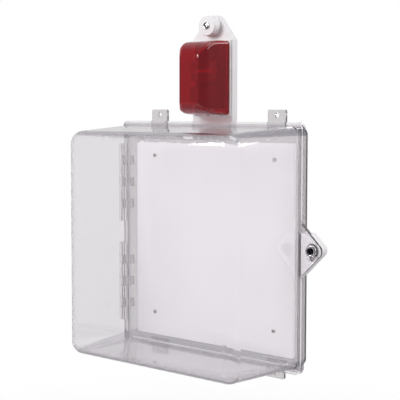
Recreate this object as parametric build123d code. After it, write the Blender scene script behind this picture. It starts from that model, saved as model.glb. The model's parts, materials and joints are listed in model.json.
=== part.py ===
from build123d import *
import os

# Clear wall cabinet with a hinged dome cover, a cam lock and a strobe siren on top.
# Millimetres. X is the width, +Y goes into the wall, +Z is up.
# The origin is the centre of the four wall screw holes, on the wall plane.
# A depth is a distance from the wall plane towards the front, along -Y.

# Overrun of every cut past its faces, and the sinking of posts into their walls
over = 1.0
post_sink = 0.5

# Cabinet overall
flange_w = 369.0
flange_h = 400.0
flange_r = 10.0
flange_t = 3.0
skirt_t = 2.6
skirt_len = 6.0
wall_t = 3.0

# Cover dome, drafted from its flange to its front
dome_depth = 163.5
dome_front_w = 331.0
dome_front_h = 368.0
dome_back_r = 14.0
dome_front_r = 23.0
dome_edge_r = 20.0
flange_out = 7.0

# Base tray
tray_depth = 25.0
tray_in = 8.0
tray_r = 12.0
rim_t = 3.0
rim_gap = 0.8

# Gasket between the cover flange and the tray rim
gasket_t = 1.7
gasket_w = 5.0
gasket_gap = 0.3

# Wall ears of the tray
ear_in = 55.0
ear_w = 34.0
ear_rise = 28.0
ear_t = 3.0
ear_border = 2.8
ear_border_h = 2.0
ear_hole_r = 4.0
ear_boss_r = 6.8
ear_hole_drop = 9.0
ear_corner_r = 3.0
ear_root = 4.0

# Mounting panel and its screws
panel_side_gap = 9.5
panel_end_gap = 9.0
panel_t = 3.0
panel_r = 5.0
panel_post_h = 9.0
panel_post_r = 7.0
panel_screw_side = 41.5
panel_screw_end = 40.5
screw_r = 1.9
screw_hole_gap = 0.05
screw_head_r = 3.6
screw_head_h = 2.2
screw_len = 9.0
clear_hole_gap = 0.25
boss_end_t = 1.0
screw_crown = 0.4

# Hinge line on the left side
hinge_out = 8.6
hinge_back = 2.0
knuckle_r = 6.5
knuckle_h = 22.9
knuckle_gap = 16.3
knuckle_count = 4
hinge_set_z = 89.9
knuckle_play = 0.35
pin_r = 2.0
pin_fit = 0.03
pin_run = 0.06
pin_short = 1.0
pin_edge = 0.4
knuckle_ease = 0.4
arm_play = 0.6
arm_foot = 10.0
arm_touch = 0.9
arm_lap = 1.5
arm_ease = 0.25

# Latch tab, hasp and keeper on the right side
tab_half = 44.0
tab_reach = 35.0
tab_nose_r = 12.0
tab_lap = 1.0
tab_bead_w = 2.4
tab_bead_h = 2.0
tab_notch_play = 2.0
hasp_t = 3.0
hasp_inset = 1.0
keeper_depth = 14.0
keeper_wall = 2.0
keeper_top = 26.0
keeper_edge_r = 1.5
keeper_screw_low = -34.0
keeper_screw_high = 17.0
keeper_boss_r = 4.2
keeper_boss_h = 7.5

# Cam lock in the latch tab
lock_x_in = 18.5
lock_head_r = 9.6
lock_head_h = 3.2
lock_head_edge_r = 1.3
lock_barrel_r = 7.8
lock_hole_gap = 0.2
plug_r = 5.0
plug_run = 0.05
plug_proud = 0.8
plug_edge = 0.5
keyway_w = 1.4
keyway_h = 6.4
keyway_depth = 4.0
clip_r = 10.4
clip_t = 1.2
clip_mouth = 9.0
lock_pass = 0.8
cam_reach = 16.0
cam_w = 8.0
cam_t = 2.0
cam_gap = 0.4
cam_slot_play = 1.0
cam_hub_w = 1.0
cam_screw_r = 2.0
cam_screw_head_r = 3.4
cam_screw_head_h = 1.8
cam_screw_len = 5.0
cam_screw_end = 0.2

# Siren housing on top of the tray
house_w = 82.0
house_depth = 15.0
house_wall = 2.5
house_side_h = 144.0
house_top_r = 19.5
house_edge_r = 1.2
boss_rise = 167.0
boss_r = 17.6
boss_front_r = 16.4
boss_h = 16.5
house_screw_x = 26.0
house_lug_r = 5.0
house_lug_h = 13.0
grommet_r = 3.4
grommet_bore_r = 1.8
grommet_lip = 0.9
grommet_lip_t = 1.2

# Siren chassis, red lens and lens screws
chassis_t = 3.0
chassis_out = 1.6
lens_w = 74.0
lens_h = 123.0
lens_rise = 19.0
lens_depth = 62.0
lens_back_r = 3.0
lens_knee_d = 22.0
lens_knee_r = 5.0
lens_shoulder_w = 58.0
lens_shoulder_d = 49.0
lens_shoulder_top = 14.0
lens_shoulder_low = 8.0
lens_shoulder_r = 16.0
lens_face_w = 39.0
lens_face_top = 23.0
lens_face_low = 15.5
lens_face_r = 5.0
lens_draft = 2.0
lens_wall = 2.4
lens_lip = 3.0
lens_lip_t = 2.0
lens_lip_gap = 0.3
lens_screw_x = 27.0
lens_screw_in = 8.0
lens_screw_r = 1.4
lens_screw_head_r = 2.6
lens_screw_head_h = 1.4
lens_screw_len = 9.0
lens_lug_r = 3.4
lens_lug_h = 7.5

# Siren works under the lens
board_side_gap = 8.0
board_top_gap = 5.0
board_rise = 11.0
board_t = 1.6
board_r = 2.0
board_post_h = 4.0
board_post_r = 3.0
board_screw_in = 5.0
board_screw_r = 1.2
board_screw_head_r = 2.3
board_screw_head_h = 1.4
board_screw_len = 4.8
reflector_gap = 4.4
reflector_w = 42.0
reflector_h = 32.0
reflector_d = 22.0
reflector_t = 1.2
tube_r = 2.6
tube_len = 32.0
tube_depth = 12.0
tube_cap_len = 6.0
tube_cap_r = 3.0
sounder_in = 1.4
sounder_r = 11.6
sounder_h = 9.5
sounder_edge_r = 1.0
sounder_port_r = 2.2
battery_gap = 8.15
battery_w = 48.5
battery_h = 26.5
battery_t = 17.5
battery_edge_r = 2.0
terminal_r = 3.0
terminal_h = 2.4
terminal_pitch = 12.7
cradle_t = 1.4
cradle_gap = 0.2
cradle_wall_h = 10.0

# Key switch in the housing boss
switch_head_r = 6.2
switch_head_h = 2.0
switch_head_edge = 0.8
switch_barrel_r = 4.8
switch_len = 20.0
switch_nut_r = 7.0
switch_nut_h = 2.6
switch_plug_r = 3.1
switch_plug_len = 12.0
switch_recess_r = 2.3
switch_recess_d = 2.5
switch_post_r = 1.2
switch_notch_w = 0.9
switch_notch_h = 1.0
switch_hole_gap = 0.15
switch_tab_w = 2.8
switch_tab_t = 0.8
switch_tab_h = 5.0

# Door switch on the tray and its magnet on the cover
reed_x = -30.0
reed_w = 26.0
reed_t = 9.0
reed_h = 8.0
reed_edge_r = 1.2
reed_front_gap = 1.0
magnet_w = 18.0
magnet_t = 10.0
magnet_h = 6.5
magnet_gap = 3.0
magnet_seat = 0.35

# Places worked out from the sizes above
flange_back = tray_depth + gasket_gap + gasket_t
flange_front = flange_back + flange_t
skirt_back = flange_back - skirt_len
dome_front = flange_front + dome_depth
dome_w = flange_w - 2 * flange_out
dome_h = flange_h - 2 * flange_out
tray_w = flange_w - 2 * tray_in
tray_h = flange_h - 2 * tray_in
rim_in = skirt_t + rim_gap
inside_w = tray_w - 2 * wall_t
inside_h = tray_h - 2 * wall_t
panel_w = inside_w - 2 * panel_side_gap
panel_h = inside_h - 2 * panel_end_gap
panel_screw_x = panel_w / 2 - panel_screw_side
panel_screw_z = panel_h / 2 - panel_screw_end
ear_x = tray_w / 2 - ear_in
panel_back = wall_t + panel_post_h
panel_front = panel_back + panel_t
hinge_x = -(flange_w / 2 + hinge_out)
hinge_depth = skirt_back + hinge_back
hinge_pitch = knuckle_h + knuckle_gap
hinge_span = knuckle_count * knuckle_h + (knuckle_count - 1) * knuckle_gap
ear_top_z = tray_h / 2 + ear_rise
ear_hole_z = ear_top_z - ear_hole_drop
tab_root_x = flange_w / 2 - skirt_t - tab_lap
tab_nose_x = flange_w / 2 + tab_reach
lock_x = tab_nose_x - lock_x_in
hasp_front = tray_depth
hasp_back = hasp_front - hasp_t
hasp_hole_r = clip_r + lock_pass
cam_front = hasp_back - cam_gap
cam_back = cam_front - cam_t
house_bottom_z = tray_h / 2
house_shoulder_z = house_bottom_z + house_side_h
boss_z = house_bottom_z + boss_rise
boss_front = house_depth + boss_h
boss_inner = boss_front - house_wall
chassis_front = house_depth + chassis_t
lens_front = chassis_front + lens_depth
lens_bottom_z = house_bottom_z + lens_rise
lens_top_z = lens_bottom_z + lens_h
lens_mid_z = lens_bottom_z + lens_h / 2
board_w = lens_w - 2 * board_side_gap
board_h = lens_h - board_rise - board_top_gap
board_bottom_z = lens_bottom_z + board_rise
board_top_z = board_bottom_z + board_h
sounder_z = board_top_z - sounder_in - sounder_r
reflector_z = sounder_z - sounder_r - reflector_gap - reflector_h / 2
battery_z = reflector_z - reflector_h / 2 - battery_gap - cradle_t - cradle_gap - battery_h / 2
board_back = chassis_front + board_post_h
board_front = board_back + board_t
lens_screw_depth = chassis_front + lens_screw_in
cradle_front = board_front + cradle_t
tube_front = board_front + tube_depth


def slab(sketch, depth_from, depth_to):
    # A plate with its outline in X and Z, between two depths
    return extrude(Plane.XZ.offset(depth_from) * sketch, depth_to - depth_from)


def round_box(width, height, radius):
    return RectangleRounded(width, height, radius)


def rod(x, z, radius, depth_from, depth_to):
    # A round bar along the depth
    return slab(Pos(x, z) * Circle(radius), depth_from, depth_to)


def upright(x, depth, radius, z_from, z_to):
    # A round bar along Z
    return extrude(Plane.XY.offset(z_from) * Pos(x, -depth) * Circle(radius), z_to - z_from)


def block(x_from, x_to, depth_from, depth_to, z_from, z_to):
    middle = ((x_from + x_to) / 2, -(depth_from + depth_to) / 2, (z_from + z_to) / 2)
    return Pos(*middle) * Box(x_to - x_from, depth_to - depth_from, z_to - z_from)


def outline(points):
    return make_face(Polyline(*points, close=True))


def corners(x, z):
    return [(sx * x, sz * z) for sx in (-1, 1) for sz in (-1, 1)]


def dome_form(inset):
    # The dome's drafted body with rounded corners and front edges, drawn inset by a wall
    back = Plane.XZ.offset(flange_front - inset) * round_box(
        dome_w - 2 * inset, dome_h - 2 * inset, dome_back_r - inset
    )
    front = Plane.XZ.offset(dome_front - inset) * round_box(
        dome_front_w - 2 * inset, dome_front_h - 2 * inset, dome_front_r - inset
    )
    body = loft([back, front])
    face = body.faces().sort_by(Axis.Y)[0]
    return fillet(face.edges(), dome_edge_r - inset)


def tab_outline(inset):
    # Triangular tab with a round nose, as the hull of its root line and its nose circle
    nose_x = tab_nose_x - tab_nose_r
    nose = Pos(nose_x, 0) * Circle(tab_nose_r - inset)
    root = Pos(tab_root_x, 0) * Rectangle(tab_lap / 2, 2 * (tab_half - inset))
    return make_hull((nose + root).edges())


def knuckle_starts():
    # Lower ends of the cover's knuckles, lower set first
    starts = []
    for side in (-1, 1):
        first = side * hinge_set_z - hinge_span / 2
        starts.append([first + n * hinge_pitch for n in range(knuckle_count)])
    return starts


def cover_knuckles():
    web_x = -flange_w / 2 + skirt_t
    web_front = hinge_depth + knuckle_r - knuckle_ease
    solids = []
    for starts in knuckle_starts():
        for z in starts:
            barrel = upright(hinge_x, hinge_depth, knuckle_r, z, z + knuckle_h)
            web = block(hinge_x, web_x, skirt_back, web_front, z, z + knuckle_h)
            bore = upright(hinge_x, hinge_depth, pin_r + pin_run, z - over, z + knuckle_h + over)
            solids.append(barrel + web - bore)
    return solids


def tray_knuckles():
    # The tray's knuckles stand in the gaps on arms that pass behind the cover's skirt
    arm_front = skirt_back - arm_play
    wall_x = -tray_w / 2
    touch = hinge_x + knuckle_r * arm_touch
    arm = [
        (hinge_x, -hinge_depth),
        (touch, -arm_front),
        (wall_x + over, -arm_front),
        (wall_x + over, -(arm_front - arm_foot)),
        (hinge_x - arm_lap, -(hinge_depth - knuckle_r + arm_ease)),
    ]
    solids = []
    for starts in knuckle_starts():
        for z in starts[:-1]:
            low = z + knuckle_h + knuckle_play
            high = z + hinge_pitch - knuckle_play
            barrel = upright(hinge_x, hinge_depth, knuckle_r, low, high)
            foot = extrude(Plane.XY.offset(low) * outline(arm), high - low)
            bore = upright(hinge_x, hinge_depth, pin_r + pin_fit, low - over, high + over)
            solids.append(barrel + foot - bore)
    return solids


def make_cover():
    body = dome_form(0)
    body += slab(round_box(flange_w, flange_h, flange_r), flange_back, flange_front)
    skirt = round_box(flange_w, flange_h, flange_r)
    skirt -= round_box(flange_w - 2 * skirt_t, flange_h - 2 * skirt_t, flange_r - skirt_t)
    body += slab(skirt, skirt_back, flange_back)
    body += slab(tab_outline(0), flange_back, flange_front)
    bead = tab_outline(0) - tab_outline(tab_bead_w)
    bead -= Pos(flange_w / 2 - flange_out, 0) * Rectangle(2 * flange_out, 4 * tab_half)
    body += slab(bead, flange_front, flange_front + tab_bead_h)
    for knuckle in cover_knuckles():
        body += knuckle
    body -= dome_form(wall_t)
    mouth = round_box(dome_w - 2 * wall_t, dome_h - 2 * wall_t, dome_back_r - wall_t)
    body -= slab(mouth, flange_back - over, flange_front)
    notch_half = tab_half + tab_notch_play
    notch_in = flange_w / 2 - skirt_t - over
    notch_out = flange_w / 2 + over
    body -= block(notch_in, notch_out, skirt_back - over, flange_back, -notch_half, notch_half)
    body -= rod(lock_x, 0, lock_barrel_r + lock_hole_gap, flange_back - over, flange_front + over)
    return body


def make_gasket():
    wide = tray_w - wall_t + gasket_w
    tall = tray_h - wall_t + gasket_w
    outer = round_box(wide, tall, tray_r)
    inner = round_box(wide - 2 * gasket_w, tall - 2 * gasket_w, tray_r - gasket_w)
    return slab(outer - inner, flange_back - gasket_t, flange_back)


def make_ear(side_x, side_z):
    # Ear plate with a raised border on three sides and a raised ring round its hole
    height = ear_rise + ear_root
    middle_z = side_z * (ear_top_z - height / 2)
    plate = Pos(side_x * ear_x, middle_z) * round_box(ear_w, height, ear_corner_r)
    inner = Pos(side_x * ear_x, middle_z - side_z * ear_border) * Rectangle(
        ear_w - 2 * ear_border, height
    )
    ear = slab(plate, 0, ear_t)
    ear += slab(plate - inner, ear_t, ear_t + ear_border_h)
    ear += rod(side_x * ear_x, side_z * ear_hole_z, ear_boss_r, 0, ear_t + ear_border_h / 2)
    return ear


def ear_hole(side_x, side_z):
    return rod(side_x * ear_x, side_z * ear_hole_z, ear_hole_r, -over, ear_t + ear_border_h + over)


def hasp_outline():
    # Outline behind the latch tab, carried back to the tray's side wall
    root_x = tray_w / 2
    root_h = 2 * (tab_half - hasp_inset)
    root = Pos((root_x + tab_root_x) / 2, 0) * Rectangle(tab_root_x - root_x, root_h)
    return tab_outline(hasp_inset) + root


def hasp_split(side):
    # The half of the hasp outline above or below the flat top of the keeper
    half = Pos(lock_x, keeper_top + side * tab_half) * Rectangle(6 * tab_reach, 2 * tab_half)
    return hasp_outline() & half


def keyhole():
    # Hole for the lock barrel with a slot that lets the unlocked cam through
    slot_w = cam_w + 2 * cam_slot_play
    straight = cam_reach + cam_slot_play - slot_w / 2
    hole = Pos(lock_x, 0) * Circle(hasp_hole_r)
    hole += Pos(lock_x, -straight / 2) * Rectangle(slot_w, straight)
    hole += Pos(lock_x, -straight) * Circle(slot_w / 2)
    return hole


def rim_outline():
    return round_box(flange_w - 2 * rim_in, flange_h - 2 * rim_in, flange_r - rim_in)


def keeper_screw_places():
    # Depth and heights of the screws that hold the keeper to the tray's side wall
    depth = hasp_back - keeper_depth / 2
    return [(depth, z) for z in (keeper_screw_low, keeper_screw_high)]


def sideways(x_from, x_to, depth, z, radius):
    # A round bar along X
    middle = Pos((x_from + x_to) / 2, -depth, z)
    return middle * Rot(0, 90, 0) * Cylinder(radius, x_to - x_from)


def make_tray():
    body = slab(round_box(tray_w, tray_h, tray_r), 0, tray_depth)
    body += slab(rim_outline(), tray_depth - rim_t, tray_depth)
    for side_x, side_z in corners(1, 1):
        body += make_ear(side_x, side_z)
    for knuckle in tray_knuckles():
        body += knuckle
    body += slab(hasp_split(1), hasp_back, hasp_front)
    inside = round_box(inside_w, inside_h, tray_r - wall_t)
    body -= slab(inside, wall_t, tray_depth + over)
    for x, z in corners(panel_screw_x, panel_screw_z):
        body += rod(x, z, panel_post_r, wall_t - post_sink, panel_back)
        body -= rod(x, z, screw_r + screw_hole_gap, panel_back - screw_len, panel_back + over)
    for side_x, side_z in corners(1, 1):
        body -= ear_hole(side_x, side_z)
    top = tray_h / 2
    middle = house_depth / 2
    body -= upright(0, middle, grommet_r, top - wall_t - over, top + over)
    for side in (-1, 1):
        x = side * house_screw_x
        body -= upright(x, middle, screw_r + clear_hole_gap, top - wall_t - over, top + over)
    side_x = tray_w / 2
    for depth, z in keeper_screw_places():
        body -= sideways(side_x - wall_t - over, side_x + over, depth, z, screw_r + clear_hole_gap)
    return body


def pan_screw(radius, head_radius, head_height, length):
    # Screw with its head seat at the origin, its shank down -Z and its crown bevelled
    head = Pos(0, 0, head_height / 2) * Cylinder(head_radius, head_height)
    crown = head.edges().sort_by(Axis.Z)[-1]
    head = chamfer(crown, head_height * screw_crown)
    return head + Pos(0, 0, -length / 2) * Cylinder(radius, length)


def front_screw(x, z, seat_depth, screw):
    # Turns a screw to point into the wall, with its head seat at a depth
    return Pos(x, -seat_depth, z) * Rot(90, 0, 0) * screw


def make_panel():
    sheet = round_box(panel_w, panel_h, panel_r)
    for x, z in corners(panel_screw_x, panel_screw_z):
        sheet -= Pos(x, z) * Circle(screw_r + clear_hole_gap)
    return slab(sheet, panel_back, panel_front)


def make_panel_screws():
    screw = pan_screw(screw_r, screw_head_r, screw_head_h, screw_len)
    places = corners(panel_screw_x, panel_screw_z)
    return [front_screw(x, z, panel_front, screw) for x, z in places]


def make_hinge_pins():
    pins = []
    for side in (-1, 1):
        middle = side * hinge_set_z
        half = hinge_span / 2 - pin_short
        pin = upright(hinge_x, hinge_depth, pin_r, middle - half, middle + half)
        ends = pin.edges().filter_by(GeomType.CIRCLE)
        pins.append(chamfer(ends, pin_edge))
    return pins


def make_keeper():
    # White box behind the latch tab: the cam turns in it, behind its keyhole front
    depth_from = hasp_back - keeper_depth
    root_x = tray_w / 2
    shape = hasp_split(-1)
    body = slab(shape, depth_from, hasp_front)
    rear = body.faces().sort_by(Axis.Y)[-1].edges()
    outer = rear.filter_by(lambda edge: edge.center().X > root_x + keeper_wall)
    body = fillet(outer, keeper_edge_r)
    body -= slab(offset(shape, -keeper_wall), depth_from + keeper_wall, hasp_back)
    body -= slab(rim_outline(), tray_depth - rim_t, tray_depth + over)
    body -= slab(keyhole(), hasp_back - over, hasp_front + over)
    boss_x = root_x + keeper_boss_h
    for depth, z in keeper_screw_places():
        body += sideways(root_x, boss_x, depth, z, keeper_boss_r)
        body -= sideways(root_x - over, boss_x - boss_end_t, depth, z, screw_r + screw_hole_gap)
    return body


def make_keeper_screws():
    screw = pan_screw(screw_r, screw_head_r, screw_head_h, screw_len)
    seat = tray_w / 2 - wall_t
    return [Pos(seat, -depth, z) * Rot(0, -90, 0) * screw for depth, z in keeper_screw_places()]


def make_lock_body():
    head = rod(lock_x, 0, lock_head_r, flange_front, flange_front + lock_head_h)
    head = fillet(head.edges().sort_by(Axis.Y)[0], lock_head_edge_r)
    barrel = rod(lock_x, 0, lock_barrel_r, hasp_back, flange_front)
    bore = rod(lock_x, 0, plug_r + plug_run, hasp_back - over, flange_front + lock_head_h + over)
    return head + barrel - bore


def make_lock_plug():
    face = flange_front + lock_head_h + plug_proud
    plug = rod(lock_x, 0, plug_r, cam_front, face)
    plug = chamfer(plug.edges().sort_by(Axis.Y)[0], plug_edge)
    keyway = Pos(lock_x, 0) * Rectangle(keyway_w, keyway_h)
    plug -= slab(keyway, face - keyway_depth, face + over)
    return plug - rod(lock_x, 0, cam_screw_r + screw_hole_gap, cam_front - over, cam_back + cam_screw_len)


def make_lock_clip():
    # Horseshoe spring clip that holds the lock barrel in the tab
    ring = Pos(lock_x, 0) * Circle(clip_r)
    ring -= Pos(lock_x, 0) * Circle(lock_barrel_r + screw_hole_gap)
    ring -= Pos(lock_x, -clip_r) * Rectangle(clip_mouth, 2 * clip_r)
    return slab(ring, flange_back - clip_t, flange_back)


def make_cam():
    arm = cam_reach - cam_w / 2
    flat = Pos(lock_x, 0) * Circle(plug_r + cam_hub_w)
    flat += Pos(lock_x, -arm / 2) * Rectangle(cam_w, arm)
    flat += Pos(lock_x, -arm) * Circle(cam_w / 2)
    flat -= Pos(lock_x, 0) * Circle(cam_screw_r + screw_hole_gap)
    return slab(flat, cam_back, cam_front)


def make_cam_screw():
    screw = pan_screw(cam_screw_r, cam_screw_head_r, cam_screw_head_h, cam_screw_len - cam_screw_end)
    return Pos(lock_x, -cam_back, 0) * Rot(-90, 0, 0) * screw


def house_outline(inset):
    # Flat sides up to the shoulders, then tangent lines to a round top
    height = house_shoulder_z - house_bottom_z
    sides = Pos(0, house_bottom_z + height / 2) * Rectangle(house_w - 2 * inset, height - 2 * inset)
    top = Pos(0, boss_z) * Circle(house_top_r - inset)
    return make_hull((sides + top).edges())


def boss_form(inset, depth_from, depth_to):
    base = Plane.XZ.offset(depth_from) * Pos(0, boss_z) * Circle(boss_r - inset)
    front = Plane.XZ.offset(depth_to) * Pos(0, boss_z) * Circle(boss_front_r - inset)
    return loft([base, front])


def make_housing():
    body = slab(house_outline(0), 0, house_depth)
    body = fillet(body.faces().sort_by(Axis.Y)[0].edges(), house_edge_r)
    boss = boss_form(0, house_depth, boss_front)
    boss = fillet(boss.edges().sort_by(Axis.Y)[0], house_edge_r)
    body += boss
    body -= slab(house_outline(house_wall), -over, house_depth - house_wall)
    body -= boss_form(house_wall, house_depth - house_wall, boss_inner)
    middle = house_depth / 2
    low = house_bottom_z
    for side in (-1, 1):
        x = side * house_screw_x
        body += upright(x, middle, house_lug_r, low + house_wall - post_sink, low + house_lug_h)
        body -= upright(x, middle, screw_r + screw_hole_gap, low - over, low + house_lug_h - boss_end_t)
    body -= upright(0, middle, grommet_r, low - over, low + house_wall + over)
    body -= rod(0, boss_z, switch_barrel_r + switch_hole_gap, boss_inner - over, boss_front + over)
    return body


def make_housing_screws():
    screw = pan_screw(screw_r, screw_head_r, screw_head_h, screw_len)
    seat = tray_h / 2 - wall_t
    turned = Rot(180, 0, 0) * screw
    return [Pos(side * house_screw_x, -house_depth / 2, seat) * turned for side in (-1, 1)]


def make_grommet():
    # Rubber bush through the tray's top wall and the housing's bottom wall
    low = tray_h / 2 - wall_t
    high = tray_h / 2 + house_wall
    depth = house_depth / 2
    bush = upright(0, depth, grommet_r - screw_hole_gap, low, high)
    for z in (low - grommet_lip_t, high):
        bush += upright(0, depth, grommet_r + grommet_lip, z, z + grommet_lip_t)
    return bush - upright(0, depth, grommet_bore_r, low - grommet_lip_t - over, high + grommet_lip_t + over)


def lens_section(inset, depth, width, top_drop, low_drop, radius):
    # One level of the lens: a rounded rectangle whose top and bottom stay in from the back's
    height = lens_h - top_drop - low_drop
    middle = Pos(0, lens_mid_z + (low_drop - top_drop) / 2)
    shape = round_box(width - 2 * inset, height - 2 * inset, radius - inset)
    return Plane.XZ.offset(depth) * middle * shape


def lens_form(inset, depth_from):
    # Straight sides up to a knee, then bevels over a shoulder to a flat front face
    side_slope = (lens_w - lens_shoulder_w) / lens_shoulder_d
    knee_w = lens_w - side_slope * lens_knee_d
    knee_drop = lens_draft * lens_knee_d / lens_depth
    knee = chassis_front + lens_knee_d - inset / 2
    shoulder = chassis_front + lens_shoulder_d - inset
    levels = [
        lens_section(inset, depth_from, lens_w, 0, 0, lens_back_r),
        lens_section(inset, knee, knee_w, knee_drop, knee_drop, lens_knee_r),
        lens_section(
            inset, shoulder, lens_shoulder_w, lens_shoulder_top, lens_shoulder_low, lens_shoulder_r
        ),
        lens_section(
            inset / 2, lens_front - inset, lens_face_w, lens_face_top, lens_face_low, lens_face_r
        ),
    ]
    return loft(levels, ruled=True)


def lens_screw_xs():
    return (-lens_screw_x, 0.0, lens_screw_x)


def make_lens():
    shell = lens_form(0, chassis_front) - lens_form(lens_wall, chassis_front - over)
    radius = lens_screw_r + clear_hole_gap
    high = lens_bottom_z + lens_wall + over
    for x in lens_screw_xs():
        shell -= upright(x, lens_screw_depth, radius, lens_bottom_z - over, high)
    return shell


def make_lens_screws():
    screw = pan_screw(lens_screw_r, lens_screw_head_r, lens_screw_head_h, lens_screw_len)
    turned = Rot(180, 0, 0) * screw
    return [Pos(x, -lens_screw_depth, lens_bottom_z) * turned for x in lens_screw_xs()]


def board_corners():
    half = board_w / 2 - board_screw_in
    low = board_bottom_z + board_screw_in
    high = board_top_z - board_screw_in
    return [(x, z) for x in (-half, half) for z in (low, high)]


def make_chassis():
    # White carrier behind the lens: plate, locating lip, board posts and lens screw lugs
    wide = lens_w + 2 * chassis_out
    tall = lens_h + 2 * chassis_out
    body = slab(Pos(0, lens_mid_z) * Rectangle(wide, tall), house_depth, chassis_front)
    lip_in = lens_wall + lens_lip_gap
    side_room = lens_lip * (lens_w - lens_shoulder_w) / (2 * lens_shoulder_d)
    lip_w = lens_w - 2 * (lip_in + side_room)
    lip_h = lens_h - 2 * lip_in
    lip = Pos(0, lens_mid_z) * Rectangle(lip_w, lip_h)
    lip -= Pos(0, lens_mid_z) * Rectangle(lip_w - 2 * lens_lip_t, lip_h - 2 * lens_lip_t)
    body += slab(lip, chassis_front, chassis_front + lens_lip)
    rise = lens_draft * (lens_screw_in + lens_lug_r) / lens_depth
    lug_low = lens_bottom_z + lens_wall + lens_lip_gap + rise
    lug_top = lug_low + lens_lug_h
    bore_r = lens_screw_r + screw_hole_gap
    for x in lens_screw_xs():
        body += upright(x, lens_screw_depth, lens_lug_r, lug_low, lug_top)
        body += block(x - lens_lug_r, x + lens_lug_r, chassis_front, lens_screw_depth, lug_low, lug_top)
        body -= upright(x, lens_screw_depth, bore_r, lug_low - over, lug_top + over)
    for x, z in board_corners():
        body += rod(x, z, board_post_r, chassis_front - post_sink, board_back)
        body -= rod(x, z, board_screw_r + screw_hole_gap, board_front - board_screw_len, board_back + over)
    return body


def make_board():
    sheet = Pos(0, board_bottom_z + board_h / 2) * round_box(board_w, board_h, board_r)
    for x, z in board_corners():
        sheet -= Pos(x, z) * Circle(board_screw_r + clear_hole_gap)
    return slab(sheet, board_back, board_front)


def make_board_screws():
    screw = pan_screw(board_screw_r, board_screw_head_r, board_screw_head_h, board_screw_len)
    return [front_screw(x, z, board_front, screw) for x, z in board_corners()]


def trough(half, front, back, half_w):
    # Solid bar under an arc from one front edge over the back to the other
    low = (-front, reflector_z - half)
    high = (-front, reflector_z + half)
    face = make_face([ThreePointArc(low, (-back, reflector_z), high), Line(high, low)])
    return extrude(Plane.YZ * face, half_w, both=True)


def make_reflector():
    # Trough with a curved back and two closed ends, open to the front
    half = reflector_h / 2
    front = board_front + reflector_d
    back = board_front
    outer = trough(half, front, back, reflector_w / 2)
    t = reflector_t
    inner = trough(half - t, front, back + t, reflector_w / 2 - t)
    body = outer - inner
    span = tube_len + 2 * tube_cap_len
    seat = sideways(-span / 2, span / 2, tube_front, reflector_z, tube_cap_r + screw_hole_gap)
    return body - seat


def make_strobe_tube():
    return sideways(-tube_len / 2, tube_len / 2, tube_front, reflector_z, tube_r)


def make_tube_caps():
    # Metal end caps of the tube, seated in the reflector's end walls
    caps = []
    for side in (-1, 1):
        x = side * (tube_len + tube_cap_len) / 2
        half = tube_cap_len / 2
        caps.append(sideways(x - half, x + half, tube_front, reflector_z, tube_cap_r))
    return caps


def make_sounder():
    can = rod(0, sounder_z, sounder_r, board_front, board_front + sounder_h)
    can = fillet(can.edges().sort_by(Axis.Y)[0], sounder_edge_r)
    port_back = board_front + sounder_h / 2
    return can - rod(0, sounder_z, sounder_port_r, port_back, board_front + sounder_h + over)


def make_cradle():
    # Battery tray with two side walls that hold the cell's long edges
    gap = battery_h / 2 + cradle_gap
    half_w = battery_w / 2
    half_h = gap + cradle_t
    body = block(-half_w, half_w, board_front, cradle_front, battery_z - half_h, battery_z + half_h)
    for side in (-1, 1):
        low = battery_z + side * (gap + cradle_t / 2) - cradle_t / 2
        body += block(-half_w, half_w, board_front, cradle_front + cradle_wall_h, low, low + cradle_t)
    return body


def make_battery():
    half = battery_w / 2
    low = battery_z - battery_h / 2
    cell = block(-half, half, cradle_front, cradle_front + battery_t, low, low + battery_h)
    cell = fillet(cell.edges().filter_by(Axis.X), battery_edge_r)
    depth = cradle_front + battery_t / 2
    for side in (-1, 1):
        z = battery_z + side * terminal_pitch / 2
        cell += sideways(half, half + terminal_h, depth, z, terminal_r)
    return cell


def make_switch_body():
    head = rod(0, boss_z, switch_head_r, boss_front, boss_front + switch_head_h)
    head = chamfer(head.edges().sort_by(Axis.Y)[0], switch_head_edge)
    barrel = rod(0, boss_z, switch_barrel_r, boss_front - switch_len, boss_front)
    body = head + barrel
    face = boss_front + switch_head_h
    body -= rod(0, boss_z, switch_plug_r + plug_run, face - switch_plug_len, face + over)
    back = boss_front - switch_len
    low = boss_z - switch_tab_w / 2
    for side in (-1, 1):
        x = side * switch_barrel_r / 2 - switch_tab_t / 2
        body += block(x, x + switch_tab_t, back - switch_tab_h, back + over, low, low + switch_tab_w)
    return body


def make_switch_plug():
    # Round key barrel with a ring recess round its centre post and a locating notch
    face = boss_front + switch_head_h
    plug = rod(0, boss_z, switch_plug_r, face - switch_plug_len, face)
    ring = Circle(switch_recess_r) - Circle(switch_post_r)
    ring += Pos(0, switch_recess_r) * Rectangle(switch_notch_w, switch_notch_h)
    return plug - slab(Pos(0, boss_z) * ring, face - switch_recess_d, face + over)


def make_switch_nut():
    hexagon = Pos(0, boss_z) * RegularPolygon(switch_nut_r, 6)
    hexagon -= Pos(0, boss_z) * Circle(switch_barrel_r + screw_hole_gap)
    return slab(hexagon, boss_inner - switch_nut_h, boss_inner)


def make_reed_switch():
    high = tray_h / 2 - wall_t
    front = tray_depth - reed_front_gap
    body = block(reed_x - reed_w / 2, reed_x + reed_w / 2, front - reed_t, front, high - reed_h, high)
    lower = body.edges().filter_by(Axis.X).group_by(Axis.Z)[0]
    return fillet(lower, reed_edge_r)


def make_magnet():
    slope = (dome_h - dome_front_h) / 2 / dome_depth
    depth = flange_front + magnet_gap
    high = dome_h / 2 - wall_t - slope * (magnet_gap + magnet_t) - magnet_seat
    body = block(
        reed_x - magnet_w / 2, reed_x + magnet_w / 2, depth, depth + magnet_t, high - magnet_h, high
    )
    lower = body.edges().filter_by(Axis.X).group_by(Axis.Z)[0]
    return fillet(lower, reed_edge_r)


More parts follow.
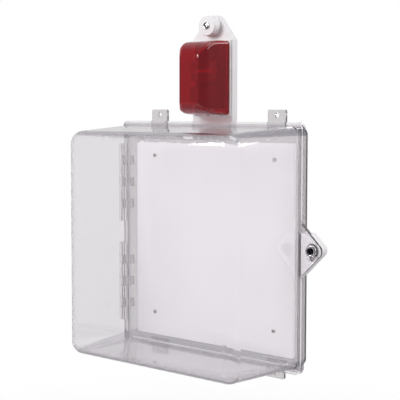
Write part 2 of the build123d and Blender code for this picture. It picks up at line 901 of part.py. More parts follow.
def save(name, solids):
    if not isinstance(solids, list):
        solids = [solids]
    shape = Compound(children=solids) if len(solids) > 1 else solids[0]
    shape.label = name
    export_step(shape, f"parts/{name}.step")


nodes = {
    "base_tray": make_tray,
    "mounting_panel": make_panel,
    "panel_screws": make_panel_screws,
    "hinge_pins": make_hinge_pins,
    "latch_keeper": make_keeper,
    "keeper_screws": make_keeper_screws,
    "siren_housing": make_housing,
    "housing_screws": make_housing_screws,
    "wire_grommet": make_grommet,
    "siren_chassis": make_chassis,
    "siren_lens": make_lens,
    "lens_screws": make_lens_screws,
    "circuit_board": make_board,
    "board_screws": make_board_screws,
    "strobe_reflector": make_reflector,
    "strobe_tube": make_strobe_tube,
    "tube_caps": make_tube_caps,
    "sounder": make_sounder,
    "battery_cradle": make_cradle,
    "battery": make_battery,
    "alarm_switch_body": make_switch_body,
    "alarm_switch_nut": make_switch_nut,
    "alarm_switch_plug": make_switch_plug,
    "door_switch": make_reed_switch,
    "cover": make_cover,
    "cover_gasket": make_gasket,
    "door_magnet": make_magnet,
    "cam_lock_body": make_lock_body,
    "cam_lock_clip": make_lock_clip,
    "cam_lock_plug": make_lock_plug,
    "lock_cam": make_cam,
    "cam_screw": make_cam_screw,
}

os.makedirs("parts", exist_ok=True)
for name, maker in nodes.items():
    save(name, maker())
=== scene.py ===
import json
import math

import bpy
from mathutils import Euler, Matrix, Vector


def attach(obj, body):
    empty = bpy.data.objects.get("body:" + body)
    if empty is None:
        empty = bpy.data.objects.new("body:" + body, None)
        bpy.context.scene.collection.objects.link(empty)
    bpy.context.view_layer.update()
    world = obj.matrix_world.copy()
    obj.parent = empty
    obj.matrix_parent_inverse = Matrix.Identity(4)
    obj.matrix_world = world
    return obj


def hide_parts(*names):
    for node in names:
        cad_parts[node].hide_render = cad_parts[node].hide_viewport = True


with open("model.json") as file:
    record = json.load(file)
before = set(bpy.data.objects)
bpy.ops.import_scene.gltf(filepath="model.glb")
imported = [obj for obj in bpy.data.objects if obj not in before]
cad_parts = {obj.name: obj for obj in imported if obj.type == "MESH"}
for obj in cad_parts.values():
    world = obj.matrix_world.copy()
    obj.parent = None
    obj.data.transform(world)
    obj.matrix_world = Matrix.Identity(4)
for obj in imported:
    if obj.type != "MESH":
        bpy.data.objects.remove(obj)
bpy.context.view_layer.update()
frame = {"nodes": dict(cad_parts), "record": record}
nodes = frame["nodes"]
scene = bpy.context.scene
mm = 0.001
print("frame loaded:", len(nodes), "nodes")


def hexColour(code):
    # sRGB hex to the linear colour that a shader takes
    values = [int(code[i:i + 2], 16) / 255 for i in (1, 3, 5)]
    linear = [v / 12.92 if v <= 0.04045 else ((v + 0.055) / 1.055) ** 2.4 for v in values]
    return (*linear, 1.0)


def addNode(tree, kind, settings=None, links=None):
    # one node with its settings, its socket values and what feeds it
    node = tree.nodes.new(kind)
    for key, value in (settings or {}).items():
        if isinstance(key, int) or key in node.inputs:
            node.inputs[key].default_value = value
        else:
            setattr(node, key, value)
    for key, source in (links or {}).items():
        tree.links.new(source, node.inputs[key])
    return node


def newMaterial(name):
    mat = bpy.data.materials.new(name)
    mat.use_nodes = True
    mat.node_tree.nodes.clear()
    return mat, mat.node_tree


def finishMaterial(tree, shader, volume=None):
    out = addNode(tree, "ShaderNodeOutputMaterial", links={"Surface": shader})
    if volume is not None:
        tree.links.new(volume, out.inputs["Volume"])


def objectPlace(tree, size):
    # object coordinates scaled so that one pattern cell is size millimetres
    coord = addNode(tree, "ShaderNodeTexCoord")
    scale = 1 / (size * mm)
    mapping = addNode(tree, "ShaderNodeMapping", {"Scale": (scale, scale, scale)},
                      {"Vector": coord.outputs["Object"]})
    return mapping.outputs["Vector"]


def noise(tree, size, detail=2.0):
    return addNode(tree, "ShaderNodeTexNoise", {"Scale": 1.0, "Detail": detail},
                   {"Vector": objectPlace(tree, size)})


def ranged(tree, source, low, high, fromLow=0.3, fromHigh=0.7):
    # high may be the output that feeds it
    settings = {"From Min": fromLow, "From Max": fromHigh, "To Min": low}
    links = {"Value": source}
    (settings if isinstance(high, float) else links)["To Max"] = high
    return addNode(tree, "ShaderNodeMapRange", settings, links).outputs["Result"]


def multiplied(tree, first, second):
    return addNode(tree, "ShaderNodeMath", {"operation": "MULTIPLY"}, {0: first, 1: second}).outputs[0]


def bumped(tree, height, distance):
    return addNode(tree, "ShaderNodeBump", {"Strength": 1.0, "Distance": distance * mm},
                   {"Height": height}).outputs["Normal"]


def blendColours(tree, factor, first, second):
    # first and second are a hex colour or the output that feeds that side
    mix = addNode(tree, "ShaderNodeMix", {"data_type": "RGBA"}, {0: factor})
    for socket, value in ((6, first), (7, second)):
        if isinstance(value, str):
            mix.inputs[socket].default_value = hexColour(value)
        else:
            tree.links.new(value, mix.inputs[socket])
    return mix.outputs[2]


# clear moulded polycarbonate: polished, faintly wavy, pale grey where it is thick
clearLook = {
    "tint": "#f6f5f6",
    "through": 0.98,       # the rest is a faint milkiness that shows in the edges
    "ior": 1.585,
    "waveSize": 120.0,     # mm between the slow waves that the mould leaves
    "waveHeight": 0.02,    # mm
    "hazeSize": 2.5,       # mm, faint rub marks
    "hazeLow": 0.0,
    "hazeHigh": 0.02,
    "depthTint": "#b9b7ba",
    # painted light: a paler tint on the knuckles and hasp beside the side walls
    "besideLightPaint": "#f6f5f6",
    # painted shade: a darker tint on the top and bottom rims
    "rimShadePaint": "#d8d6da",
    "depth": 2.0,          # absorption per metre
    "lampShare": "#fbfafb",
    # where the plain tint goes over into the painted rim shade and the painted light beside the walls, in mm
    # from the cabinet's middle
    "rimFrom": (178.0, 180.0),
    "earsFrom": (192.0, 194.0),
    "besideFrom": (183.0, 187.0),
    "besideEnd": (172.0, 180.0),
}

# the tray has a greyer, less clear tint than the cover, and its own tints of painted rim shade and painted
# light beside the walls
trayLook = dict(clearLook, through=0.93, tint="#dad8d9", besideLightPaint="#f3f1f2", rimShadePaint="#c2c0c4",
                depthTint="#adaaae", depth=1.0)


def paintedRimShadeAndLight(tree, look):
    # painted shade darkens the top and bottom rims; painted light keeps the knuckles and hasp, past the side
    # walls, clearer
    split = addNode(tree, "ShaderNodeSeparateXYZ", links={"Vector": objectPlace(tree, 1.0)})
    across, up = [
        addNode(tree, "ShaderNodeMath", {"operation": "ABSOLUTE"}, {0: split.outputs[axis]}).outputs[0]
        for axis in ("X", "Z")
    ]
    rimShadeMask = ranged(tree, up, 0.0, 1.0, *look["rimFrom"])
    belowEars = ranged(tree, up, 1.0, 0.0, *look["earsFrom"])
    tint = blendColours(tree, multiplied(tree, rimShadeMask, belowEars), look["tint"], look["rimShadePaint"])
    besideLightMask = ranged(tree, across, 0.0, 1.0, *look["besideFrom"])
    between = ranged(tree, up, 1.0, 0.0, *look["besideEnd"])
    return blendColours(tree, multiplied(tree, besideLightMask, between), tint, look["besideLightPaint"])


def lampThrough(tree, shader, share):
    # the lamps' direct light passes straight through, tinted
    lamp = addNode(tree, "ShaderNodeBsdfTransparent", {"Color": hexColour(share)})
    path = addNode(tree, "ShaderNodeLightPath")
    mix = addNode(tree, "ShaderNodeMixShader", links={0: path.outputs["Is Shadow Ray"]})
    tree.links.new(shader.outputs["BSDF"], mix.inputs[1])
    tree.links.new(lamp.outputs["BSDF"], mix.inputs[2])
    return mix.outputs["Shader"]


def depthTinted(tree, look):
    volume = addNode(tree, "ShaderNodeVolumeAbsorption",
                     {"Color": hexColour(look["depthTint"]), "Density": look["depth"]})
    return volume.outputs["Volume"]


def clearPolycarbonate(look, name="clear moulded polycarbonate"):
    mat, tree = newMaterial(name)
    wave = noise(tree, look["waveSize"], 0.0)
    haze = noise(tree, look["hazeSize"], 3.0)
    links = {
        "Base Color": paintedRimShadeAndLight(tree, look),
        "Roughness": ranged(tree, haze.outputs["Fac"], look["hazeLow"], look["hazeHigh"]),
        "Normal": bumped(tree, wave.outputs["Fac"], look["waveHeight"]),
    }
    settings = {"Transmission Weight": look["through"], "IOR": look["ior"]}
    shader = addNode(tree, "ShaderNodeBsdfPrincipled", settings, links)
    finishMaterial(tree, lampThrough(tree, shader, look["lampShare"]), depthTinted(tree, look))
    return mat


def plastic(name, colour, roughness, grainSize, grainHeight, patch=0.03, patchSize=60.0):
    # moulded or sheet plastic: a fine mould grain, and a slow change of shade; sizes in mm
    mat, tree = newMaterial(name)
    grain = noise(tree, grainSize, 4.0)
    slow = noise(tree, patchSize, 1.0)
    hue = addNode(tree, "ShaderNodeHueSaturation", {"Color": hexColour(colour)},
                  {"Value": ranged(tree, slow.outputs["Fac"], 1 - patch, 1 + patch / 3)})
    links = {
        "Base Color": hue.outputs["Color"],
        "Roughness": ranged(tree, slow.outputs["Fac"], roughness * 0.9, roughness * 1.1),
        "Normal": bumped(tree, grain.outputs["Fac"], grainHeight),
    }
    shader = addNode(tree, "ShaderNodeBsdfPrincipled", {"IOR": 1.5}, links)
    finishMaterial(tree, shader.outputs["BSDF"])
    return mat


def metal(name, colour, roughness, grainSize, grainHeight, stretch=(1, 1, 1)):
    # plated or drawn metal: tool marks, drawn out along an axis whose stretch is below 1
    mat, tree = newMaterial(name)
    coord = addNode(tree, "ShaderNodeTexCoord")
    scale = [s / (grainSize * mm) for s in stretch]
    mapping = addNode(tree, "ShaderNodeMapping", {"Scale": scale}, {"Vector": coord.outputs["Object"]})
    marks = addNode(tree, "ShaderNodeTexNoise", {"Scale": 1.0, "Detail": 3.0},
                    {"Vector": mapping.outputs["Vector"]})
    links = {
        "Roughness": ranged(tree, marks.outputs["Fac"], roughness * 0.7, roughness * 1.3),
        "Normal": bumped(tree, marks.outputs["Fac"], grainHeight),
    }
    settings = {"Base Color": hexColour(colour), "Metallic": 1.0}
    shader = addNode(tree, "ShaderNodeBsdfPrincipled", settings, links)
    finishMaterial(tree, shader.outputs["BSDF"])
    return mat


# red translucent polycarbonate of the strobe lens: most of the light passes, the rest is scattered
lensLook = {
    "tint": "#c03a44",
    "through": 0.76,
    "ior": 1.585,
    "gloss": 0.09,
    "frostSize": 3.0,      # mm
    "depthTint": "#b01018",
    "depth": 40.0,         # absorption per metre
    "lampShare": "#d8323a",
}


def redLens(look):
    mat, tree = newMaterial("red translucent polycarbonate")
    frost = noise(tree, look["frostSize"], 2.0)
    settings = {
        "Base Color": hexColour(look["tint"]),
        "Transmission Weight": look["through"],
        "IOR": look["ior"],
    }
    links = {"Roughness": ranged(tree, frost.outputs["Fac"], look["gloss"] * 0.8, look["gloss"] * 1.2)}
    shader = addNode(tree, "ShaderNodeBsdfPrincipled", settings, links)
    finishMaterial(tree, lampThrough(tree, shader, look["lampShare"]), depthTinted(tree, look))
    return mat


materials = {
    "clear_polycarbonate": clearPolycarbonate(clearLook),
    "white_panel": plastic("white PVC foam sheet", "#ebe9eb", 0.42, 0.8, 0.01, patch=0.015),
    "white_moulding": plastic("white moulded ABS", "#ecebec", 0.38, 1.1, 0.02),
    "red_lens": redLens(lensLook),
    "screw_steel": metal("zinc plated steel", "#d2d0ce", 0.1, 0.8, 0.006),
    "pin_steel": metal("drawn stainless steel", "#e4e3e3", 0.3, 0.5, 0.01, (1, 1, 0.05)),
    "lock_chrome": metal("bright chrome plate", "#dcdcdf", 0.07, 1.5, 0.004),
    "reflector_chrome": metal("metallised reflector", "#e2e2e2", 0.12, 2.0, 0.01),
    "tube_glass": plastic("frosted strobe tube glass", "#f6f6f4", 0.15, 2.0, 0.005),
    "board_laminate": plastic("green solder mask", "#1d5c34", 0.4, 2.0, 0.02),
    "black_moulding": plastic("black moulded ABS", "#1b1b1d", 0.45, 1.0, 0.03),
    "battery_case": plastic("dark wrapped battery can", "#3a3a40", 0.35, 1.5, 0.01),
    "gasket_foam": plastic("pale closed cell foam", "#cfcdd1", 0.85, 0.7, 0.15),
    "grommet_rubber": plastic("black rubber", "#1e1e20", 0.7, 0.9, 0.05),
}

# pieces whose finish differs from that of their slot
ownFinish = {
    # painted reflection: the plug is plated dark to stand in for the dark room that its chrome face reflects
    "cam_lock_plug": metal("dark plug plate with painted reflection", "#28282b", 0.12, 1.5, 0.004),
    "base_tray": clearPolycarbonate(trayLook, "grey clear moulded polycarbonate"),
}

for subpart in frame["record"]["subparts"]:
    piece = nodes[subpart["node"]]
    piece.data.materials.clear()
    piece.data.materials.append(ownFinish.get(subpart["node"], materials[subpart["material_slot"]]))
print("materials:", len(materials))

# detailed pieces in place of plain nodes, sizes in mm; depths are measured from the wall
smoothAngle = 35.0         # degrees; sharper edges stay crisp


def onlySelect(piece):
    bpy.ops.object.select_all(action="DESELECT")
    piece.select_set(True)
    bpy.context.view_layer.objects.active = piece


def applyPlace():
    bpy.ops.object.transform_apply(location=True, rotation=True, scale=True)


def closeForm():
    # ends the edit of a form that was extruded from one face
    bpy.ops.mesh.select_all(action="SELECT")
    bpy.ops.mesh.normals_make_consistent(inside=False)
    bpy.ops.object.mode_set(mode="OBJECT")


def turnedForm(name, centre, steps, sides=64):
    # steps are (radius, depth) from the back of the form to its front
    x, z = centre[0] * mm, centre[1] * mm
    radius, depth = steps[0]
    bpy.ops.object.select_all(action="DESELECT")
    bpy.ops.mesh.primitive_circle_add(vertices=sides, radius=radius * mm, fill_type="NGON",
                                      location=(x, -depth * mm, z), rotation=(math.pi / 2, 0, 0))
    piece = bpy.context.object
    piece.name = name
    applyPlace()
    bpy.ops.object.mode_set(mode="EDIT")
    bpy.ops.mesh.select_all(action="SELECT")
    for nextRadius, nextDepth in steps[1:]:
        step = (0, (depth - nextDepth) * mm, 0)
        bpy.ops.mesh.extrude_region_move(TRANSFORM_OT_translate={"value": step})
        if nextRadius != radius:
            bpy.ops.transform.resize(value=[nextRadius / radius] * 3, center_override=(x, -nextDepth * mm, z))
        radius, depth = nextRadius, nextDepth
    closeForm()
    return piece


def levelledForm(name, low, top, levels):
    # levels are (depth, width, drop from the top, rise from the low side) from the back to the front
    depth, width, drop, rise = levels[0]
    high, base = top - drop, low + rise
    bpy.ops.object.select_all(action="DESELECT")
    bpy.ops.mesh.primitive_plane_add(size=1, location=(0, -depth * mm, (high + base) / 2 * mm),
                                     rotation=(math.pi / 2, 0, 0))
    piece = bpy.context.object
    piece.name = name
    piece.scale = (width * mm, (high - base) * mm, 1)
    applyPlace()
    bpy.ops.object.mode_set(mode="EDIT")
    bpy.ops.mesh.select_all(action="SELECT")
    for nextDepth, nextWidth, drop, rise in levels[1:]:
        nextHigh, nextBase = top - drop, low + rise
        middle = (nextHigh + nextBase) / 2
        step = (0, (depth - nextDepth) * mm, (middle - (high + base) / 2) * mm)
        bpy.ops.mesh.extrude_region_move(TRANSFORM_OT_translate={"value": step})
        bpy.ops.transform.resize(value=(nextWidth / width, 1, (nextHigh - nextBase) / (high - base)),
                                 center_override=(0, -nextDepth * mm, middle * mm))
        depth, width, high, base = nextDepth, nextWidth, nextHigh, nextBase
    closeForm()
    return piece


def boxForm(name, size, middle, turn=0.0):
    bpy.ops.object.select_all(action="DESELECT")
    bpy.ops.mesh.primitive_cube_add(size=1, location=[m * mm for m in middle],
                                    rotation=(0, math.radians(turn), 0), scale=[e * mm for e in size])
    piece = bpy.context.object
    piece.name = name
    applyPlace()
    return piece


def slotCutter(name, size, centre, front, turn=0.0):
    # a box that cuts size[1] deep into a face at depth front
    return boxForm(name, (size[0], 2 * size[1], size[2]), (centre[0], -front, centre[1]), turn)


def cutAway(piece, cutter):
    onlySelect(piece)
    cut = piece.modifiers.new("cut", "BOOLEAN")
    cut.operation = "DIFFERENCE"
    cut.solver = "EXACT"
    cut.object = cutter
    bpy.ops.object.modifier_apply(modifier=cut.name)
    bpy.data.objects.remove(cutter)


def joinForms(forms):
    onlySelect(forms[0])
    for form in forms[1:]:
        form.select_set(True)
    bpy.ops.object.join()
    return forms[0]


def bevelEdges(piece, pick, width, segments):
    # pick takes an edge's middle and direction, in mm and as a unit vector
    onlySelect(piece)
    bpy.ops.object.mode_set(mode="EDIT")
    bpy.ops.mesh.select_mode(type="EDGE")
    bpy.ops.mesh.select_all(action="DESELECT")
    bpy.ops.object.mode_set(mode="OBJECT")
    for edge in piece.data.edges:
        a, b = (piece.data.vertices[v].co for v in edge.vertices)
        edge.select = pick((a + b) / 2 / mm, (b - a).normalized())
    bpy.ops.object.mode_set(mode="EDIT")
    bpy.ops.mesh.bevel(offset=width * mm, segments=segments, affect="EDGES")
    bpy.ops.object.mode_set(mode="OBJECT")


def leavesLevel(middle, along):
    # edges that run from one depth to another, and not across
    return abs(along.y) > 0.05


def seatPiece(piece, look, mat):
    onlySelect(piece)
    bpy.ops.object.shade_smooth_by_angle(angle=math.radians(look.get("smooth", smoothAngle)))
    piece.data.materials.clear()
    piece.data.materials.append(mat)
    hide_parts(look["node"])
    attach(piece, look["body"])


panel = {
    "node": "mounting_panel", "body": "base", "slot": "white_panel",
    "size": (325.6, 3.0, 346.5),
    "middle": (-1.2, -13.5, -6.75),
    "cornerR": 5.0,
    "cornerSteps": 8,
    "edgeBevel": 0.4,
    "edgeSteps": 2,
    "hole": [(2.15, 11.0), (2.15, 16.0)],
    "holeSides": 32,
    "holeX": 122.5,
    "holeZ": 139.5,
}
panelFront = panel["middle"][1] - panel["size"][1] / 2


def onPanelFront(middle, along):
    return middle.y < panelFront + 0.1


def makePanel():
    sheet = boxForm("panel_sheet", panel["size"], panel["middle"])
    bevelEdges(sheet, leavesLevel, panel["cornerR"], panel["cornerSteps"])
    bevelEdges(sheet, onPanelFront, panel["edgeBevel"], panel["edgeSteps"])
    for x in (-panel["holeX"], panel["holeX"]):
        for z in (-panel["holeZ"], panel["holeZ"]):
            cutAway(sheet, turnedForm("hole", (x, z), panel["hole"], panel["holeSides"]))
    seatPiece(sheet, panel, materials["white_panel"])


lockHead = {
    "node": "cam_lock_body", "body": "cover", "slot": "lock_chrome",
    "centre": (201.0, 0.0),
    "steps": [(7.8, 22.0), (7.8, 30.0), (9.6, 30.0), (9.6, 31.2), (9.4, 32.0), (8.9, 32.7),
              (8.1, 33.1), (7.3, 33.2), (6.5, 33.05), (5.9, 32.7), (5.4, 32.2)],
    "bore": [(5.05, 21.0), (5.05, 34.0)],
}
lockPlug = {
    "node": "cam_lock_plug", "body": "lock_plug", "slot": "lock_chrome",
    "centre": lockHead["centre"],
    "steps": [(5.0, 21.6), (5.0, 32.9), (4.75, 33.4), (4.2, 33.75), (3.2, 33.95), (1.6, 34.0)],
    "bore": [(2.15, 21.0), (2.15, 27.0)],
    "keyway": (1.4, 4.0, 6.4),
}


def makeLock():
    head = turnedForm("lock_head", lockHead["centre"], lockHead["steps"])
    cutAway(head, turnedForm("bore", lockHead["centre"], lockHead["bore"]))
    seatPiece(head, lockHead, materials["lock_chrome"])
    plug = turnedForm("lock_plug_face", lockPlug["centre"], lockPlug["steps"])
    cutAway(plug, turnedForm("bore", lockPlug["centre"], lockPlug["bore"]))
    cutAway(plug, slotCutter("keyway", lockPlug["keyway"], lockPlug["centre"], lockPlug["steps"][-1][1]))
    # the plug takes the dark plate that paints its dark reflection
    seatPiece(plug, lockPlug, ownFinish["cam_lock_plug"])


switchHead = {
    "node": "alarm_switch_body", "body": "base", "slot": "lock_chrome",
    "centre": (0.0, 359.0),
    "steps": [(4.8, 11.5), (4.8, 31.5), (6.2, 31.5), (6.2, 32.2), (5.95, 32.9), (5.4, 33.35),
              (4.8, 33.5), (4.2, 33.4), (3.6, 33.0)],
    "bore": [(3.15, 21.5), (3.15, 34.0)],
    "tab": (0.8, 5.2, 2.8),
    "tabX": 2.4,
    "tabOut": 0.2,         # how far a tab stands out of the back
}
switchPlug = {
    "node": "alarm_switch_plug", "body": "alarm_key", "slot": "lock_chrome",
    "centre": switchHead["centre"],
    "steps": [(3.1, 21.5), (3.1, 33.1), (2.95, 33.4), (2.7, 33.5)],
    "recess": (3.7, 2.7, 3.7),
    "recessTurn": 18.0,
    "post": [(1.0, 30.8), (1.0, 32.6), (0.8, 32.9), (0.5, 33.0)],
    "postSides": 32,
}


def makeKeySwitch():
    x, z = switchHead["centre"]
    head = turnedForm("key_switch", switchHead["centre"], switchHead["steps"])
    cutAway(head, turnedForm("bore", switchHead["centre"], switchHead["bore"]))
    size = switchHead["tab"]
    middle = -switchHead["steps"][0][1] + size[1] / 2 - switchHead["tabOut"]
    tabs = [boxForm("tab", size, (x + side * switchHead["tabX"], middle, z)) for side in (-1, 1)]
    head = joinForms([head] + tabs)
    seatPiece(head, switchHead, materials["lock_chrome"])
    plug = turnedForm("key_plug", switchPlug["centre"], switchPlug["steps"])
    cutAway(plug, slotCutter("recess", switchPlug["recess"], switchPlug["centre"],
                             switchPlug["steps"][-1][1], switchPlug["recessTurn"]))
    post = turnedForm("post", switchPlug["centre"], switchPlug["post"], switchPlug["postSides"])
    plug = joinForms([plug, post])
    seatPiece(plug, switchPlug, materials["lock_chrome"])


# the strobe lens, with ends that round over into its face
lens = {
    "node": "siren_lens", "body": "base", "slot": "red_lens",
    "low": 211.0,
    "top": 334.0,
    "levels": [(18.0, 74.0, 0.0, 0.0), (40.0, 66.8, 0.7, 0.7), (52.0, 62.7, 2.5, 1.8), (60.0, 60.0, 5.5, 3.4),
               (67.0, 57.6, 10.5, 6.0), (71.0, 51.9, 13.8, 8.4), (74.5, 46.9, 17.2, 11.2),
               (77.2, 43.1, 20.6, 14.3), (79.0, 40.5, 23.8, 17.4), (80.0, 38.0, 27.5, 21.0)],
    "wall": 2.4,
    "shoulder": 65.0,      # levels in front of this depth face forwards, those behind it sideways
    "sideShare": 0.4,      # of the wall, by which the hollow's sideways levels lie further back
    "cornerR": 5.0,
    "cornerSteps": 5,
    "boreR": 1.45,
    "boreSides": 24,
    "screwX": (-27.0, 0.0, 27.0),
    "screwDepth": 26.0,
    "smooth": 20.0,
}


def flatFacets(piece):
    # large facets keep their own normals, the small ones between them blend
    flat = piece.modifiers.new("flat facets", "WEIGHTED_NORMAL")
    flat.weight = 100
    flat.keep_sharp = True
    bpy.ops.object.modifier_apply(modifier=flat.name)


def makeLens():
    wall = lens["wall"]
    shell = levelledForm("lens_shell", lens["low"], lens["top"], lens["levels"])
    bevelEdges(shell, leavesLevel, lens["cornerR"], lens["cornerSteps"])
    inner = []
    for depth, width, drop, rise in lens["levels"]:
        back = wall * (lens["sideShare"] if depth < lens["shoulder"] else 1)
        inner.append((depth - back, width - 2 * wall, drop + wall, rise + wall))
    hollow = levelledForm("hollow", lens["low"], lens["top"], inner)
    bevelEdges(hollow, leavesLevel, lens["cornerR"] - wall, lens["cornerSteps"])
    cutAway(shell, hollow)
    for x in lens["screwX"]:
        place = (x * mm, -lens["screwDepth"] * mm, lens["low"] * mm)
        bpy.ops.mesh.primitive_cylinder_add(vertices=lens["boreSides"], radius=lens["boreR"] * mm,
                                            depth=4 * wall * mm, location=place)
        cutAway(shell, bpy.context.object)
    seatPiece(shell, lens, materials["red_lens"])
    flatFacets(shell)


# screws with a cross; their steps count from the face that they are screwed against
panelScrews = {
    "node": "panel_screws", "body": "base", "slot": "screw_steel",
    "steps": [(2.0, -9.0), (2.0, 0.0), (3.6, 0.0), (3.6, 0.9), (3.4, 1.45), (2.9, 1.85), (2.0, 2.1),
              (1.0, 2.2)],
    "sides": 40,
    "arm": (5.0, 1.5, 1.5),
    "places": [(x, panelFront, z) for z in (panel["holeZ"], -panel["holeZ"])
               for x in (-panel["holeX"], panel["holeX"])],
    "turns": [38.0, 12.0, 63.0, 27.0],
    "tilt": 0.0,
}
lensScrews = {
    "node": "lens_screws", "body": "base", "slot": "screw_steel",
    "steps": [(1.4, -9.0), (1.4, 0.0), (2.6, 0.0), (2.6, 0.6), (2.35, 1.05), (1.7, 1.3), (0.8, 1.4)],
    "sides": 40,
    "arm": (3.0, 0.85, 0.75),
    "places": [(x, -lens["screwDepth"], lens["low"]) for x in lens["screwX"]],
    "turns": [20.0, 70.0, 45.0],
    "tilt": 90.0,          # they point upwards into the lens
}


def makeScrews(name, look):
    forms = []
    for place, turn in zip(look["places"], look["turns"]):
        screw = turnedForm(name, (0, 0), look["steps"], look["sides"])
        for crossTurn in (turn, turn + 90):
            cutAway(screw, slotCutter("arm", look["arm"], (0, 0), look["steps"][-1][1], crossTurn))
        onlySelect(screw)
        screw.rotation_euler = (math.radians(look["tilt"]), 0, 0)
        screw.location = [p * mm for p in place]
        applyPlace()
        forms.append(screw)
    seatPiece(joinForms(forms), look, materials[look["slot"]])


makePanel()
makeLock()
makeKeySwitch()
makeScrews("panel_screw_heads", panelScrews)
makeScrews("lens_screw_heads", lensScrews)
makeLens()
print("detailed pieces done")

# camera, at the photograph's angle
cameraLook = {
    "place": (0.9116, -1.2860, 0.2199),
    "yaw": 36.14,
    "pitch": -3.16,
    "roll": 0.1,
    "lens": 83.4,
    "sensor": 36.0,
    "shiftX": -0.010,
    "shiftY": -0.098,
    "near": 0.05,
}


def addCamera():
    data = bpy.data.cameras.new("photo camera")
    data.sensor_width = cameraLook["sensor"]
    data.lens = cameraLook["lens"]
    data.shift_x = cameraLook["shiftX"]
    data.shift_y = cameraLook["shiftY"]
    data.clip_start = cameraLook["near"]
    cam = bpy.data.objects.new("photo camera", data)
    scene.collection.objects.link(cam)
    cam.location = cameraLook["place"]
    turn = Euler((math.radians(90 + cameraLook["pitch"]), 0, math.radians(cameraLook["yaw"])), "XYZ")
    cam.rotation_euler = turn
    cam.rotation_euler.rotate_axis("Z", math.radians(cameraLook["roll"]))
    scene.camera = cam


# studio: a pale floor well below the hanging cabinet, soft lamps, and a room that is darker
# behind the camera, so that gloss and clear edges have something to show; sizes in metres
studio = {
    "floorZ": -0.62,
    "floorRadius": 1.5,
    "floorSides": 96,
    "floorSolid": 0.5,     # the floor fades out from here
    "floorEnd": 0.97,      # to this share of its radius
    "floorColour": "#bbb9bb",
    "whiteShare": 0.88,
    "lamps": {
        "key softbox": {"place": (-0.5, -1.28, 0.74), "size": 0.5, "power": 10.4},
        "side softbox": {"place": (2.0, 1.2, 1.15), "size": 1.1, "power": 17.0},
        "top softbox": {"place": (0.5, 0.3, 2.2), "size": 1.5, "power": 14.0},
        "low bounce": {"place": (-0.06, -0.79, -0.56), "size": 0.1, "power": 0.15},
    },
    "aim": (0, 0, 0.05),
    "roomFront": "#a9a6a9",
    "frontThrough": "#c6c3c6",    # the same front, as seen out through clear edges
    "roomLeft": "#e0dee0",
    "roomTop": "#c9c7c9",
    "roomBack": "#f6f5f6",
    "mirrorTint": "#58565a",
    "mirrorShare": 0.9,    # mirror reflections see mostly this dark tint
    "mirrorLeast": 0.15,   # but only this share of it towards the left back
    # where one side of the room goes over into the next, along the axis of a unit direction
    "backFrom": (-0.35, 0.6),
    "topFrom": (0.25, 0.75),
    "leftFrom": (-0.7, 0.3),
    "mirrorX": (-0.5, -0.3),
    "mirrorY": (0.0, 0.4),
}


def addFloor():
    bpy.ops.mesh.primitive_circle_add(vertices=studio["floorSides"], radius=studio["floorRadius"],
                                      fill_type="NGON", location=(0, 0, studio["floorZ"]))
    floor = bpy.context.object
    floor.name = "studio_floor"
    mat, tree = newMaterial("pale studio floor")
    pale = addNode(tree, "ShaderNodeBsdfDiffuse", {"Color": hexColour(studio["floorColour"])})
    white = addNode(tree, "ShaderNodeEmission", {"Strength": 1.0})
    path = addNode(tree, "ShaderNodeLightPath")
    share = addNode(tree, "ShaderNodeMath", {"operation": "MULTIPLY", 1: studio["whiteShare"]},
                    {0: path.outputs["Is Camera Ray"]})
    lit = addNode(tree, "ShaderNodeMixShader", links={0: share.outputs[0]})
    tree.links.new(pale.outputs["BSDF"], lit.inputs[1])
    tree.links.new(white.outputs["Emission"], lit.inputs[2])
    coord = addNode(tree, "ShaderNodeTexCoord")
    away = addNode(tree, "ShaderNodeVectorMath", {"operation": "LENGTH"}, {0: coord.outputs["Object"]})
    fade = addNode(tree, "ShaderNodeMapRange",
                   {"interpolation_type": "SMOOTHSTEP", "From Min": studio["floorSolid"],
                    "From Max": studio["floorRadius"] * studio["floorEnd"]}, {"Value": away.outputs["Value"]})
    clear = addNode(tree, "ShaderNodeBsdfTransparent")
    mix = addNode(tree, "ShaderNodeMixShader", links={0: fade.outputs["Result"]})
    tree.links.new(lit.outputs["Shader"], mix.inputs[1])
    tree.links.new(clear.outputs["BSDF"], mix.inputs[2])
    finishMaterial(tree, mix.outputs["Shader"])
    floor.data.materials.append(mat)


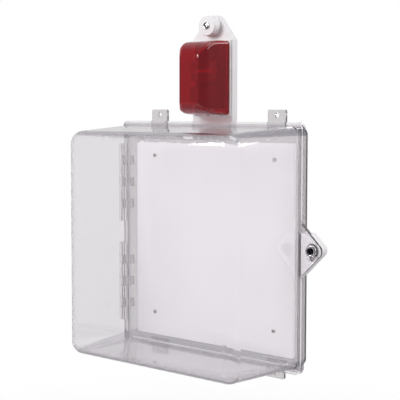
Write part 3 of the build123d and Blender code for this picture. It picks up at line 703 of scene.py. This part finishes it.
def addLamp(name, look):
    data = bpy.data.lights.new(name, "AREA")
    data.shape = "SQUARE"
    data.size = look["size"]
    data.energy = look["power"]
    lamp = bpy.data.objects.new(name, data)
    scene.collection.objects.link(lamp)
    lamp.location = look["place"]
    lamp.rotation_euler = (Vector(studio["aim"]) - lamp.location).to_track_quat("-Z", "Y").to_euler()


def addWorld():
    world = bpy.data.worlds.new("studio")
    world.use_nodes = True
    scene.world = world
    tree = world.node_tree
    tree.nodes.clear()
    coord = addNode(tree, "ShaderNodeTexCoord")
    split = addNode(tree, "ShaderNodeSeparateXYZ", links={"Vector": coord.outputs["Generated"]})
    path = addNode(tree, "ShaderNodeLightPath")
    back = ranged(tree, split.outputs["Y"], 0.0, 1.0, *studio["backFrom"])
    above = ranged(tree, split.outputs["Z"], 0.0, 1.0, *studio["topFrom"])
    toLeft = ranged(tree, split.outputs["X"], 1.0, 0.0, *studio["leftFrom"])
    outward = path.outputs["Is Transmission Ray"]
    ahead = blendColours(tree, outward, studio["roomFront"], studio["frontThrough"])
    front = blendColours(tree, toLeft, ahead, studio["roomLeft"])
    level = blendColours(tree, back, front, studio["roomBack"])
    room = blendColours(tree, above, level, studio["roomTop"])
    mirrored = addNode(tree, "ShaderNodeMath", {"operation": "SUBTRACT", "use_clamp": True},
                       {0: path.outputs["Is Glossy Ray"], 1: outward})
    right = ranged(tree, split.outputs["X"], studio["mirrorLeast"], studio["mirrorShare"], *studio["mirrorX"])
    share = ranged(tree, split.outputs["Y"], studio["mirrorShare"], right, *studio["mirrorY"])
    dim = multiplied(tree, mirrored.outputs[0], share)
    room = blendColours(tree, dim, room, studio["mirrorTint"])
    seen = blendColours(tree, path.outputs["Is Camera Ray"], room, "#ffffff")
    light = addNode(tree, "ShaderNodeBackground", {"Strength": 1.0}, {"Color": seen})
    addNode(tree, "ShaderNodeOutputWorld", links={"Surface": light.outputs["Background"]})


addCamera()
addFloor()
for name, look in studio["lamps"].items():
    addLamp(name, look)
addWorld()
scene.view_settings.view_transform = "Standard"
print("studio ready")
